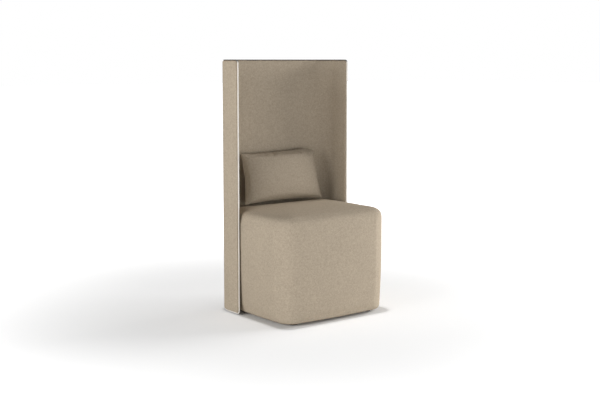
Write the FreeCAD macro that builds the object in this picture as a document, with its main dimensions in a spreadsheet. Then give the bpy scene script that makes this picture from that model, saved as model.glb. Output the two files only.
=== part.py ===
import FreeCAD, Part
import math
import os
import Sketcher

# Single lounge seat: an upholstered block seat on low feet, wrapped at the rear by a thin
# U-shaped acoustic screen, with one loose lumbar pillow.
# Millimetres. The origin is on the floor under the middle of the seat, the sitter faces -Y.

Vector = FreeCAD.Vector
doc = FreeCAD.newDocument("HighBackLoungeChair")
sheet = doc.addObject("Spreadsheet::Sheet", "Sizes")

drivingSizes = [
    ("overallWidth", 640, "outside of the screen, side to side"),
    ("overallDepth", 512, "seat front to the back of the screen"),
    ("overallHeight", 1155, "floor to the top of the screen"),
    ("wingDepth", 170, "wing front edge to the back of the screen"),
    ("screenFloorGap", 10, "floor to the bottom of the screen"),
    ("screenCornerRadius", 76, "outer plan radius of the bent corners"),
    ("screenEdgeRadius", 12, "rounding of the four free wing corners"),
    ("coreThickness", 7, "bent plywood"),
    ("screenFoam", 2.3, "acoustic foam on each face of the core"),
    ("coverThickness", 1.2, "screen fabric"),
    ("pipingDiameter", 7.3, "piping round the screen's edge"),
    ("pipingProud", 0.8, "piping centre outside the cover's edge"),
    ("seatHeight", 475, "floor to the edge of the seat top"),
    ("seatCrown", 12, "rise of the seat top towards its middle"),
    ("seatFloorGap", 10, "floor to the underside of the seat cover"),
    ("seatSideGap", 4, "seat to the inside of each wing"),
    ("seatRearGap", 4, "seat to the inside of the screen's back"),
    ("seatSideBow", 4, "bow of each side in plan"),
    ("seatFrontBow", 8, "bow of the front in plan"),
    ("seatFrontRadius", 95, "plan radius of the front corners"),
    ("seatTopRadius", 38, "rounding round the top"),
    ("seatBottomRadius", 18, "rounding round the bottom"),
    ("seatBottomTaper", 9, "sides drawn in above the bottom rounding"),
    ("seatSkin", 2, "seat fabric with its backing"),
    ("boardThickness", 15, "plywood of the carcass"),
    ("accessLength", 300, "opening in the base board, side to side"),
    ("accessWidth", 190, "opening in the base board, front to back"),
    ("seatFoamDepth", 130, "seat edge down to the top of the rails"),
    ("cornerBlock", 40, "hardwood block in each carcass corner"),
    ("strapWidth", 50, "elastic webbing"),
    ("strapThickness", 1.6, "elastic webbing"),
    ("crossStraps", 4, "straps from side to side"),
    ("longStraps", 5, "straps from front to back"),
    ("flangeWidth", 26, "seat fabric turned in under the base board"),
    ("footDiameter", 44, "glide under the seat"),
    ("footFloorDiameter", 38, "glide on the floor"),
    ("footSideInset", 48, "foot centre inside the carcass side"),
    ("footEndInset", 32, "foot centre inside the carcass front and rear"),
    ("footScrewDiameter", 5, "wood screw of each foot"),
    ("screenBoltDiameter", 8, "bolts from the rear rail to the screen"),
    ("screenBoltClear", 23, "screen bolt centre from the corner block beside it"),
    ("screenBoltRise", 77, "base board to the lower screen bolts"),
    ("screenBoltDrop", 55, "rail top down to the upper screen bolts"),
    ("spacerDiameter", 24, "spacer sleeve of each screen bolt"),
    ("pillowWidth", 450, "corner to corner"),
    ("pillowHeight", 240, "corner to corner"),
    ("pillowThickness", 104, "at the crown"),
    ("pillowEdgeDraw", 8, "edges drawn in between the corners"),
    ("pillowLean", 10, "degrees back from upright"),
    ("pillowOffset", -6, "pillow middle from the chair's middle"),
    ("pillowSkin", 1.5, "pillow fabric"),
    ("clearance", 0.3, "between soft pieces that only touch"),
]
for row, (alias, number, note) in enumerate(drivingSizes, start=1):
    sheet.set("A%d" % row, alias)
    sheet.set("B%d" % row, str(number))
    sheet.set("C%d" % row, note)
    sheet.setAlias("B%d" % row, alias)
doc.recompute()


def value(expression):
    """Number that an expression on the sheet stands for."""
    return float(sheet.evalExpression(expression))


# Places worked out from the driving sizes, as expressions on the sheet
screenThickness = "(Sizes.coreThickness + 2 * Sizes.screenFoam + 2 * Sizes.coverThickness)"
screenBack = "(Sizes.overallDepth / 2)"
screenInside = f"({screenBack} - {screenThickness})"
wingFront = f"({screenBack} - Sizes.wingDepth)"
pipingStand = "(Sizes.pipingProud + Sizes.pipingDiameter / 2)"
rimDepth = f"(({screenThickness} - Sizes.pipingDiameter) / 2)"
coreInset = "(Sizes.pipingDiameter / 2 - Sizes.pipingProud)"
seatHalfWidth = f"(Sizes.overallWidth / 2 - {screenThickness} - Sizes.seatSideGap)"
seatRear = f"({screenInside} - Sizes.seatRearGap)"
seatFront = "(-Sizes.overallDepth / 2)"
seatRearRadius = f"(Sizes.screenCornerRadius - {screenThickness} - Sizes.seatRearGap)"
padDepth = ("max(Sizes.seatBottomTaper + Sizes.seatBottomRadius + Sizes.seatFrontBow; "
            "0.293 * Sizes.seatFrontRadius + 14)")
carcassHalf = f"({seatHalfWidth} - {padDepth} - Sizes.seatSkin)"
carcassFront = f"({seatFront} + {padDepth} + Sizes.seatSkin)"
carcassRear = f"({seatRear} - {padDepth} - Sizes.seatSkin)"
carcassMiddle = f"(({carcassFront} + {carcassRear}) / 2)"
carcassDepth = f"({carcassRear} - {carcassFront})"
carcassTop = "(Sizes.seatHeight - Sizes.seatFoamDepth)"
boardCornerRadius = f"(Sizes.seatFrontRadius - {padDepth} + 3)"
baseBottom = "(Sizes.seatFloorGap + Sizes.seatSkin)"
baseTop = f"({baseBottom} + Sizes.boardThickness)"
railHeight = f"({carcassTop} - {baseTop})"
webbingTop = f"({carcassTop} + 2 * Sizes.strapThickness + 0.4)"
boltX = f"({carcassHalf} - Sizes.boardThickness - Sizes.cornerBlock - Sizes.screenBoltClear)"
boltLevels = (f"({baseTop} + Sizes.screenBoltRise)", f"({carcassTop} - Sizes.screenBoltDrop)")
footX = f"({carcassHalf} - Sizes.footSideInset)"
footReach = f"({carcassDepth} / 2 - Sizes.footEndInset)"


def bind(thing, sizes):
    """Tie properties of an object to expressions on the sheet."""
    for path, expression in sizes.items():
        thing.setExpression(path, expression)
    return thing


def place(thing, x="0", y="0", z="0"):
    places = {"Placement.Base.x": x, "Placement.Base.y": y, "Placement.Base.z": z}
    return bind(thing, {path: text for path, text in places.items() if text != "0"})


def newBody(name):
    body = doc.addObject("PartDesign::Body", name)
    body.Label = name
    return body


def newSketch(body, name, role):
    sketch = body.newObject("Sketcher::SketchObject", name)
    plane = [item for item in body.Origin.OriginFeatures if item.Role == role][0]
    sketch.AttachmentSupport = [(plane, "")]
    sketch.MapMode = "FlatFace"
    return sketch


def addPad(body, sketch, length):
    pad = body.newObject("PartDesign::Pad", body.Name + "Pad")
    pad.Profile = sketch
    return bind(pad, {"Length": length})


def addPocket(body, sketch, name):
    pocket = body.newObject("PartDesign::Pocket", name)
    pocket.Profile = sketch
    pocket.Type = "ThroughAll"
    pocket.Midplane = True
    return pocket


def nameLast(sketch, constraint, name, expression):
    """Add a sized constraint, name it and tie it to the sheet."""
    index = sketch.addConstraint(constraint)
    sketch.renameConstraint(index, name)
    sketch.setExpression("Constraints." + name, expression)


def addRectangle(sketch, width, height):
    """Rectangle centred on the sketch's origin."""
    halfWidth = value(width) / 2
    halfHeight = value(height) / 2
    corners = [Vector(-halfWidth, -halfHeight), Vector(halfWidth, -halfHeight),
               Vector(halfWidth, halfHeight), Vector(-halfWidth, halfHeight)]
    first = sketch.GeometryCount
    for start, end in zip(corners, corners[1:] + corners[:1]):
        sketch.addGeometry(Part.LineSegment(start, end))
    for side in range(4):
        sketch.addConstraint(Sketcher.Constraint("Coincident", first + side, 2, first + (side + 1) % 4, 1))
    for side in range(4):
        direction = "Horizontal" if side % 2 == 0 else "Vertical"
        sketch.addConstraint(Sketcher.Constraint(direction, first + side))
    sketch.addConstraint(Sketcher.Constraint("Symmetric", first, 1, first + 1, 2, -1, 1))
    nameLast(sketch, Sketcher.Constraint("DistanceX", first, 1, first, 2, 2 * halfWidth),
             f"width{first}", width)
    nameLast(sketch, Sketcher.Constraint("DistanceY", first + 1, 1, first + 1, 2, 2 * halfHeight),
             f"height{first}", height)


def addCircle(sketch, x, y, diameter):
    """Circle placed from the sketch's origin."""
    middle = Vector(value(x), value(y))
    index = sketch.addGeometry(Part.Circle(middle, Vector(0, 0, 1), value(diameter) / 2))
    nameLast(sketch, Sketcher.Constraint("Diameter", index, value(diameter)), f"diameter{index}", diameter)
    nameLast(sketch, Sketcher.Constraint("DistanceX", -1, 1, index, 3, middle.x), f"across{index}", x)
    nameLast(sketch, Sketcher.Constraint("DistanceY", -1, 1, index, 3, middle.y), f"along{index}", y)


def edgesAlong(shape, direction, length=None):
    """Names of the straight edges that run along a direction, of one length if it is given."""
    names = []
    for number, edge in enumerate(shape.Edges, start=1):
        if edge.Curve.TypeId != "Part::GeomLine":
            continue
        run = edge.Vertexes[-1].Point.sub(edge.Vertexes[0].Point)
        if run.cross(direction).Length > 1e-6:
            continue
        if length is None or abs(run.Length - length) < 1e-6:
            names.append("Edge%d" % number)
    return names


def cutNode(name, base, tool):
    """Sub-part made of a base less a tool."""
    cut = doc.addObject("Part::Cut", name)
    cut.Label = name
    cut.Base = base
    cut.Tool = tool
    return cut


def group(name, members):
    """Identical pieces kept in one sub-part."""
    compound = doc.addObject("Part::Compound", name)
    compound.Label = name
    compound.Links = members
    return compound


def cylinder(name, diameter, length, x="0", y="0", z="0", alongY=False):
    round_ = doc.addObject("Part::Cylinder", name)
    if alongY:
        round_.Placement.Rotation = FreeCAD.Rotation(Vector(1, 0, 0), -90)
    bind(round_, {"Radius": f"({diameter}) / 2", "Height": length})
    return place(round_, x, y, z)


def solidFeature(name, shape):
    feature = doc.addObject("Part::Feature", name)
    feature.Label = name
    feature.Shape = shape
    return feature


# The screen: each layer is a U in plan, padded to its height, with the wing corners rounded


def screenLayer(name, outside, inside, inset):
    """U-shaped layer between two depths from the screen's outer face, set in from its border."""
    body = newBody(name)
    sketch = newSketch(body, name + "Plan", "XY_Plane")
    halfOuter = f"(Sizes.overallWidth / 2 - {outside})"
    backOuter = f"({screenBack} - {outside})"
    radiusOuter = f"(Sizes.screenCornerRadius - {outside})"
    front = f"({wingFront} + {pipingStand} + {inset})"
    thickness = f"({inside} - {outside})"
    w, b, r, f, t = [value(text) for text in (halfOuter, backOuter, radiusOuter, front, thickness)]
    middles = [Vector(-w + r, b - r), Vector(w - r, b - r)]
    lines = [
        (Vector(-w, f), Vector(-w, b - r)),
        (Vector(-w + r, b), Vector(w - r, b)),
        (Vector(w, b - r), Vector(w, f)),
        (Vector(w, f), Vector(w - t, f)),
        (Vector(w - t, f), Vector(w - t, b - r)),
        (Vector(w - r, b - t), Vector(-w + r, b - t)),
        (Vector(-w + t, b - r), Vector(-w + t, f)),
        (Vector(-w + t, f), Vector(-w, f)),
    ]
    for start, end in lines:
        sketch.addGeometry(Part.LineSegment(start, end))
    for middle, radius, turn in ((0, r, 90), (1, r, 0), (1, r - t, 0), (0, r - t, 90)):
        circle = Part.Circle(middles[middle], Vector(0, 0, 1), radius)
        sketch.addGeometry(Part.ArcOfCircle(circle, math.radians(turn), math.radians(turn + 90)))
    # outer arcs 8 and 9, inner arcs 10 and 11; arc ends run anticlockwise
    for line, lineEnd, arc, arcEnd in ((0, 2, 8, 2), (1, 1, 8, 1), (1, 2, 9, 2), (2, 1, 9, 1),
                                       (4, 2, 10, 1), (5, 1, 10, 2), (5, 2, 11, 1), (6, 1, 11, 2)):
        sketch.addConstraint(Sketcher.Constraint("Tangent", line, lineEnd, arc, arcEnd))
    for line, lineEnd, other, otherEnd in ((2, 2, 3, 1), (3, 2, 4, 1), (6, 2, 7, 1), (7, 2, 0, 1)):
        sketch.addConstraint(Sketcher.Constraint("Coincident", line, lineEnd, other, otherEnd))
    for line in (0, 2, 4, 6):
        sketch.addConstraint(Sketcher.Constraint("Vertical", line))
    for line in (1, 3, 7):
        sketch.addConstraint(Sketcher.Constraint("Horizontal", line))
    sketch.addConstraint(Sketcher.Constraint("Symmetric", 0, 1, 2, 2, -2))
    sketch.addConstraint(Sketcher.Constraint("Coincident", 8, 3, 11, 3))
    sketch.addConstraint(Sketcher.Constraint("Coincident", 9, 3, 10, 3))
    nameLast(sketch, Sketcher.Constraint("DistanceX", 0, 1, 2, 2, 2 * w), "width", f"2 * {halfOuter}")
    nameLast(sketch, Sketcher.Constraint("DistanceY", -1, 1, 1, 1, b), "back", backOuter)
    nameLast(sketch, Sketcher.Constraint("DistanceY", -1, 1, 2, 2, f), "front", front)
    nameLast(sketch, Sketcher.Constraint("Radius", 8, r), "corner", radiusOuter)
    nameLast(sketch, Sketcher.Constraint("Radius", 9, r), "cornerRight", radiusOuter)
    nameLast(sketch, Sketcher.Constraint("DistanceX", 7, 2, 7, 1, t), "thickness", thickness)
    bottom = f"(Sizes.screenFloorGap + {pipingStand} + {inset})"
    height = f"(Sizes.overallHeight - {pipingStand} - {inset} - {bottom})"
    pad = addPad(body, sketch, height)
    place(body, z=bottom)
    doc.recompute()
    fillet = body.newObject("PartDesign::Fillet", name + "Corners")
    fillet.Base = (pad, edgesAlong(pad.Shape, Vector(1, 0, 0), t))
    bind(fillet, {"Radius": f"max(Sizes.screenEdgeRadius - {inset}; 0.5)"})
    return body


innerRim = f"({screenThickness} - {rimDepth})"
coreOuter = "(Sizes.coverThickness + Sizes.screenFoam)"
coreInner = f"({coreOuter} + Sizes.coreThickness)"
foamInner = f"({coreInner} + Sizes.screenFoam)"
plainCore = screenLayer("plainCore", coreOuter, coreInner, coreInset)
plainInnerFoam = screenLayer("plainInnerFoam", coreInner, foamInner, "Sizes.coverThickness")
plainOuterFoam = screenLayer("plainOuterFoam", "Sizes.coverThickness", coreOuter, "Sizes.coverThickness")
outerTray = screenLayer("outerTray", "0", rimDepth, "0")
outerFill = screenLayer("outerFill", "Sizes.coverThickness", coreOuter, "Sizes.coverThickness")
innerTray = screenLayer("innerTray", innerRim, screenThickness, "0")
innerFill = screenLayer("innerFill", f"({innerRim} - 1)", foamInner, "Sizes.coverThickness")

# Screen bolts, low and high on each side, and everything they pass through

boltPlaces = [(side, level) for side in ("-", "") for level in boltLevels]
railInside = f"({carcassRear} - Sizes.boardThickness)"
coreInside = f"({screenBack} - {coreInner})"
coreOutside = f"({screenBack} - {coreOuter})"
boltClearDiameter = "(Sizes.screenBoltDiameter + 1)"
teeBarrelDiameter = "(Sizes.screenBoltDiameter + 2.4)"
teeFlangeDiameter = "(Sizes.screenBoltDiameter * 2.75)"
teeFlange = "1.5"
washerDiameter = "(Sizes.screenBoltDiameter * 2.5)"
washerThickness = "2"


def atBolts(name, diameter, start, end):
    """One cylinder at each screen bolt, from one depth to another."""
    rounds = []
    for number, (side, level) in enumerate(boltPlaces, start=1):
        rounds.append(cylinder(f"{name}{number}", diameter, f"({end}) - ({start})",
                               side + boltX, start, level, alongY=True))
    return rounds


spacerHoles = group("spacerHoles", atBolts("spacerHole", "Sizes.spacerDiameter",
                                           carcassRear, coreInside))
barrelHoles = group("barrelHoles", atBolts("barrelHole", teeBarrelDiameter, f"({coreInside} - 1)",
                                           f"({coreOutside} + 1)"))
flangeRecesses = group("flangeRecesses", atBolts("flangeRecess", teeFlangeDiameter, coreOutside,
                                                 f"({coreOutside} + {teeFlange})"))
screenCore = cutNode("screen_core", plainCore, barrelHoles)
innerFoam = cutNode("screen_inner_foam", plainInnerFoam, spacerHoles)
outerFoam = cutNode("screen_outer_foam", plainOuterFoam, flangeRecesses)
outerCover = cutNode("screen_outer_cover", outerTray, outerFill)
plainInnerCover = cutNode("plainInnerCover", innerTray, innerFill)
innerCover = cutNode("screen_inner_cover", plainInnerCover, spacerHoles)


def pipingPath():
    """Closed line round the border: over the top, down the wing fronts and along the bottom."""
    half = value(f"Sizes.overallWidth / 2 - {screenThickness} / 2")
    back = value(f"{screenBack} - {screenThickness} / 2")
    corner = value(f"Sizes.screenCornerRadius - {screenThickness} / 2")
    edge = value("Sizes.screenEdgeRadius + Sizes.pipingProud")
    front = value(f"{wingFront} + Sizes.pipingDiameter / 2")
    low = value("Sizes.screenFloorGap + Sizes.pipingDiameter / 2")
    high = value("Sizes.overallHeight - Sizes.pipingDiameter / 2")
    bend = 1 - math.sqrt(0.5)

    def level(z):
        points = [Vector(-half, front + edge, z), Vector(-half, back - corner, z),
                  Vector(-half + bend * corner, back - bend * corner, z), Vector(-half + corner, back, z),
                  Vector(half - corner, back, z), Vector(half - bend * corner, back - bend * corner, z),
                  Vector(half, back - corner, z), Vector(half, front + edge, z)]
        return [Part.LineSegment(points[0], points[1]), Part.Arc(points[1], points[2], points[3]),
                Part.LineSegment(points[3], points[4]), Part.Arc(points[4], points[5], points[6]),
                Part.LineSegment(points[6], points[7])]

    def wing(x):
        topMiddle = Vector(x, front + bend * edge, high - bend * edge)
        lowMiddle = Vector(x, front + bend * edge, low + bend * edge)
        return [Part.Arc(Vector(x, front + edge, high), topMiddle, Vector(x, front, high - edge)),
                Part.LineSegment(Vector(x, front, high - edge), Vector(x, front, low + edge)),
                Part.Arc(Vector(x, front, low + edge), lowMiddle, Vector(x, front + edge, low))]

    curves = level(high) + wing(half) + level(low) + wing(-half)
    return Part.Wire(Part.__sortEdges__([curve.toShape() for curve in curves]))


def sweepRound(path, diameter):
    """Solid of a round section carried along a closed path."""
    first = path.Edges[0]
    start = first.valueAt(first.FirstParameter)
    along = first.tangentAt(first.FirstParameter)
    section = Part.Wire(Part.Circle(start, along, diameter / 2).toShape())
    solid = path.makePipeShell([section], True, False)
    return solid if solid.ShapeType == "Solid" else Part.makeSolid(solid)


piping = solidFeature("screen_piping", sweepRound(pipingPath(), value("Sizes.pipingDiameter")))

# Bolts through the rear rail and the spacers into tee nuts in the core
teeNuts = []
bolts = []
washers = []
spacers = []
headBottom = f"({railInside} - {washerThickness})"
headHeight = "(Sizes.screenBoltDiameter * 0.65)"
for number, (side, level) in enumerate(boltPlaces, start=1):
    x = side + boltX
    bore = cylinder(f"nutBore{number}", "Sizes.screenBoltDiameter", "30", x, f"{coreInside} - 5", level, True)
    barrel = cylinder(f"nutBarrel{number}", teeBarrelDiameter, "Sizes.coreThickness - 0.5", x,
                      f"{coreInside} + 0.5", level, True)
    flange = cylinder(f"nutFlange{number}", teeFlangeDiameter, teeFlange, x, coreOutside, level, True)
    nut = doc.addObject("Part::Fuse", f"nut{number}")
    nut.Base = barrel
    nut.Tool = flange
    teeNuts.append(cutNode(f"boredNut{number}", nut, bore))

    head = doc.addObject("Part::Prism", f"boltHead{number}")
    head.Polygon = 6
    head.Placement.Rotation = FreeCAD.Rotation(Vector(1, 0, 0), -90)
    bind(head, {"Circumradius": "Sizes.screenBoltDiameter * 0.92", "Height": headHeight})
    place(head, x, f"{headBottom} - {headHeight}", level)
    shank = cylinder(f"boltShank{number}", "Sizes.screenBoltDiameter", f"{coreOutside} - {headBottom}", x,
                     headBottom, level, True)
    bolt = doc.addObject("Part::Fuse", f"bolt{number}")
    bolt.Base = head
    bolt.Tool = shank
    bolts.append(bolt)

    disc = cylinder(f"washerDisc{number}", washerDiameter, washerThickness, x, headBottom, level, True)
    washerHole = cylinder(f"washerHole{number}", "Sizes.screenBoltDiameter + 0.4", "6", x,
                          f"{headBottom} - 2", level, True)
    washers.append(cutNode(f"washer{number}", disc, washerHole))

    sleeve = cylinder(f"sleeve{number}", "Sizes.spacerDiameter", f"{coreInside} - {carcassRear}", x,
                      carcassRear, level, True)
    sleeveHole = cylinder(f"sleeveHole{number}", boltClearDiameter, f"{coreInside} - {carcassRear} + 10", x,
                          f"{carcassRear} - 5", level, True)
    spacers.append(cutNode(f"spacer{number}", sleeve, sleeveHole))
screenTeeNuts = group("screen_tee_nuts", teeNuts)
screenBolts = group("screen_bolts", bolts)
screenWashers = group("screen_washers", washers)
screenSpacers = group("screen_spacers", spacers)

# Seat carcass: a base board, four rails and a block in each corner


def roundedBoard(name, width, depth, thickness, radius):
    """Board with rounded corners, centred on its origin."""
    body = newBody(name)
    plan = newSketch(body, name + "Plan", "XY_Plane")
    addRectangle(plan, width, depth)
    pad = addPad(body, plan, thickness)
    doc.recompute()
    corners = body.newObject("PartDesign::Fillet", name + "Corners")
    corners.Base = (pad, edgesAlong(pad.Shape, Vector(0, 0, 1)))
    bind(corners, {"Radius": radius})
    return body


def addBaseBoard():
    """Base board with an access opening and a pilot hole for each foot."""
    body = roundedBoard("base_board", f"2 * {carcassHalf}", carcassDepth, "Sizes.boardThickness",
                        boardCornerRadius)
    opening = newSketch(body, "baseOpening", "XY_Plane")
    addRectangle(opening, "Sizes.accessLength", "Sizes.accessWidth")
    addPocket(body, opening, "baseAccess")
    pilots = newSketch(body, "basePilots", "XY_Plane")
    for sideX in ("-", ""):
        for sideY in ("-", ""):
            addCircle(pilots, sideX + footX, sideY + footReach, "Sizes.footScrewDiameter")
    addPocket(body, pilots, "basePilotHoles")
    place(body, y=carcassMiddle, z=baseBottom)
    return body


def addRail(name, length, x, y, alongY=False):
    """Upright board of the carcass, standing on the base board."""
    body = newBody(name)
    plan = newSketch(body, name + "Plan", "XY_Plane")
    if alongY:
        addRectangle(plan, "Sizes.boardThickness", length)
    else:
        addRectangle(plan, length, "Sizes.boardThickness")
    addPad(body, plan, railHeight)
    place(body, x, y, baseTop)
    return body


baseBoard = addBaseBoard()
halfBoard = "Sizes.boardThickness / 2"
frontRail = addRail("front_rail", f"2 * {carcassHalf}", "0", f"{carcassFront} + {halfBoard}")
plainRearRail = addRail("plainRearRail", f"2 * {carcassHalf}", "0", f"{carcassRear} - {halfBoard}")
rearRail = cutNode("rear_rail", plainRearRail,
                   group("railHoles", atBolts("railHole", boltClearDiameter, f"{railInside} - 1",
                                              f"{carcassRear} + 1")))
sideLength = f"({carcassDepth} - 2 * Sizes.boardThickness)"
leftRail = addRail("left_rail", sideLength, f"-{carcassHalf} + {halfBoard}", carcassMiddle, alongY=True)
rightRail = addRail("right_rail", sideLength, f"{carcassHalf} - {halfBoard}", carcassMiddle, alongY=True)


def addCornerBlock(name, quarterTurns, x, y):
    """Square hardwood post with its inner corner cut off, its outer corner at its origin."""
    body = newBody(name)
    sketch = newSketch(body, name + "Plan", "XY_Plane")
    side = value("Sizes.cornerBlock")
    points = [Vector(0, 0), Vector(side, 0), Vector(side, side / 2), Vector(side / 2, side), Vector(0, side)]
    for start, end in zip(points, points[1:] + points[:1]):
        sketch.addGeometry(Part.LineSegment(start, end))
    for line in range(5):
        sketch.addConstraint(Sketcher.Constraint("Coincident", line, 2, (line + 1) % 5, 1))
    for line, direction in ((0, "Horizontal"), (1, "Vertical"), (3, "Horizontal"), (4, "Vertical")):
        sketch.addConstraint(Sketcher.Constraint(direction, line))
    sketch.addConstraint(Sketcher.Constraint("Coincident", 0, 1, -1, 1))
    nameLast(sketch, Sketcher.Constraint("DistanceX", 0, 1, 0, 2, side), "side", "Sizes.cornerBlock")
    nameLast(sketch, Sketcher.Constraint("DistanceY", 4, 2, 4, 1, side), "depth", "Sizes.cornerBlock")
    half = "Sizes.cornerBlock / 2"
    nameLast(sketch, Sketcher.Constraint("DistanceY", 1, 1, 1, 2, side / 2), "shortSide", half)
    nameLast(sketch, Sketcher.Constraint("DistanceX", 3, 2, 3, 1, side / 2), "shortEnd", half)
    addPad(body, sketch, f"{railHeight} - 30")
    body.Placement.Rotation = FreeCAD.Rotation(Vector(0, 0, 1), 90 * quarterTurns)
    place(body, x, y, baseTop)
    return body


blockLeft = f"-({carcassHalf} - Sizes.boardThickness)"
blockRight = f"({carcassHalf} - Sizes.boardThickness)"
blockFront = f"({carcassFront} + Sizes.boardThickness)"
blockRear = f"({carcassRear} - Sizes.boardThickness)"
cornerBlocks = group("corner_blocks", [
    addCornerBlock("blockFrontLeft", 0, blockLeft, blockFront),
    addCornerBlock("blockFrontRight", 1, blockRight, blockFront),
    addCornerBlock("blockRearRight", 2, blockRight, blockRear),
    addCornerBlock("blockRearLeft", 3, blockLeft, blockRear),
])

# Elastic webbing, woven over and under, its ends on the rails


def wovenStrap(length, crossings, startHigh):
    """Side view of one strap along its run: low on the rails, high or low at each crossing."""
    thickness = value("Sizes.strapThickness")
    flat = value("Sizes.strapWidth") / 2 + 4
    step = thickness + 0.1
    rail = value("Sizes.boardThickness")
    stations = [(-length / 2, 0), (-length / 2 + rail, 0)]
    for number, place_ in enumerate(crossings):
        rise = step if (number + startHigh) % 2 else 0
        stations += [(place_ - flat, rise), (place_ + flat, rise)]
    stations += [(length / 2 - rail, 0), (length / 2, 0)]
    lower = [Vector(along, 0, up) for along, up in stations]
    upper = [Vector(along, 0, up + thickness) for along, up in reversed(stations)]
    return Part.Face(Part.makePolygon(lower + upper + lower[:1]))


def strapPlaces(count, span):
    """Even places of a number of straps inside a span."""
    pitch = span / count
    return [pitch * (number + 0.5) - span / 2 for number in range(count)]


def webbing(name, length, places, crossings, turned):
    """Straps of one direction as separate solids."""
    width = value("Sizes.strapWidth")
    straps = []
    for number, place_ in enumerate(places):
        strap = wovenStrap(length, crossings, (number + turned) % 2).extrude(Vector(0, width, 0))
        strap.translate(Vector(0, place_ - width / 2, 0))
        if turned:
            strap.rotate(Vector(0, 0, 0), Vector(0, 0, 1), 90)
        straps.append(strap)
    feature = solidFeature(name, Part.makeCompound(straps))
    place(feature, y=carcassMiddle, z=carcassTop)
    return feature


insideWidth = value(f"2 * ({carcassHalf} - Sizes.boardThickness)")
insideDepth = value(f"{carcassDepth} - 2 * Sizes.boardThickness")
crossPlaces = strapPlaces(int(value("Sizes.crossStraps")), insideDepth)
longPlaces = strapPlaces(int(value("Sizes.longStraps")), insideWidth)
crossWebbing = webbing("webbing_cross", value(f"2 * {carcassHalf}"), crossPlaces, longPlaces, 0)
longWebbing = webbing("webbing_long", value(carcassDepth), [-place_ for place_ in longPlaces],
                      crossPlaces, 1)

# The upholstered block: bowed sides, rounded corners, drawn in below, crowned on top


def seatOutline(inset, z):
    """Closed outline at one height: bowed front and sides, four corner arcs, straight rear."""
    half = value(seatHalfWidth) - inset
    front = value(seatFront) + inset
    rear = value(seatRear) - inset
    sideBow = value("Sizes.seatSideBow")
    frontBow = value("Sizes.seatFrontBow")
    smallest = 12
    frontRadius = max(value("Sizes.seatFrontRadius") - inset, smallest)
    rearRadius = max(value(seatRearRadius) - inset, smallest)

    def corner(start, end, turn):
        chord = end.sub(start)
        outward = Vector(chord.y, -chord.x, 0).normalize()
        middle = start.add(end).multiply(0.5)
        rise = chord.Length / 2 * math.tan(math.radians(turn) / 4)
        return Part.Arc(start, middle.add(outward.multiply(rise)), end)

    sideX = half - sideBow
    frontY = front + frontBow
    frontLeft = Vector(-half + frontRadius, frontY, z)
    frontRight = Vector(half - frontRadius, frontY, z)
    rightFront = Vector(sideX, front + frontRadius, z)
    rightRear = Vector(sideX, rear - rearRadius, z)
    rearRight = Vector(sideX - rearRadius, rear, z)
    rearLeft = Vector(-sideX + rearRadius, rear, z)
    leftRear = Vector(-sideX, rear - rearRadius, z)
    leftFront = Vector(-sideX, front + frontRadius, z)
    sideMiddle = (rightFront.y + rightRear.y) / 2
    curves = [
        Part.Arc(frontLeft, Vector(0, front, z), frontRight),
        corner(frontRight, rightFront, 83),
        Part.Arc(rightFront, Vector(half, sideMiddle, z), rightRear),
        corner(rightRear, rearRight, 88),
        Part.LineSegment(rearRight, rearLeft),
        corner(rearLeft, leftRear, 88),
        Part.Arc(leftRear, Vector(-half, sideMiddle, z), leftFront),
        corner(leftFront, frontLeft, 83),
    ]
    return Part.Wire([curve.toShape() for curve in curves])


def seatRings(skin, steps):
    """Inset and height of each outline of the block, from its underside to its crown."""
    low = value("Sizes.seatFloorGap") + skin
    edge = value("Sizes.seatHeight") - skin
    lowRadius = value("Sizes.seatBottomRadius") - skin
    topRadius = value("Sizes.seatTopRadius") - skin
    taper = value("Sizes.seatBottomTaper") + skin
    crown = value("Sizes.seatCrown")
    turns = [math.pi / 2 * step / steps for step in range(steps + 1)]
    rings = [(taper + lowRadius * (1 - math.sin(turn)), low + lowRadius * (1 - math.cos(turn)))
             for turn in turns]
    sideLow = low + lowRadius
    sideHeight = edge - topRadius - sideLow
    widest = 0.7
    for step in range(1, steps):
        share = widest * step / (steps - 1)
        drawn = (taper - skin) * (1 - share / widest) ** 2
        rings.append((skin + drawn, sideLow + share * sideHeight))
    rings += [(skin + topRadius * (1 - math.cos(turn)), edge - topRadius * (1 - math.sin(turn)))
              for turn in turns]
    flat = skin + topRadius
    reach = value(f"({seatRear} - {seatFront}) / 2") - crownFlat
    for step in range(1, steps + 1):
        share = step / steps
        rings.append((flat + share * (reach - flat), edge + crown * (1 - (1 - share) ** 2)))
    return rings


def seatBlock(skin, steps):
    """Solid of the upholstered block, or of what lies under its skin."""
    wires = [seatOutline(inset, z) for inset, z in seatRings(skin, steps)]
    return Part.makeLoft(wires, True, True)


crownFlat = 16
seatSteps = 5
seatShape = solidFeature("seatShape", seatBlock(0, seatSteps))
seatHollow = solidFeature("seatHollow", seatBlock(value("Sizes.seatSkin"), 3))
seatInside = solidFeature("seatInside", seatBlock(value("Sizes.seatSkin + Sizes.clearance"), 3))


def cutBlock(name, x, y, z):
    """Part of the foam that lies between two places along each axis."""
    box = doc.addObject("Part::Box", name + "Space")
    for size, axis, (start, end) in (("Length", "x", x), ("Width", "y", y), ("Height", "z", z)):
        bind(box, {size: f"({end}) - ({start})", "Placement.Base." + axis: start})
    common = doc.addObject("Part::Common", name)
    common.Label = name
    common.Base = seatInside
    common.Tool = box
    return common


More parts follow.
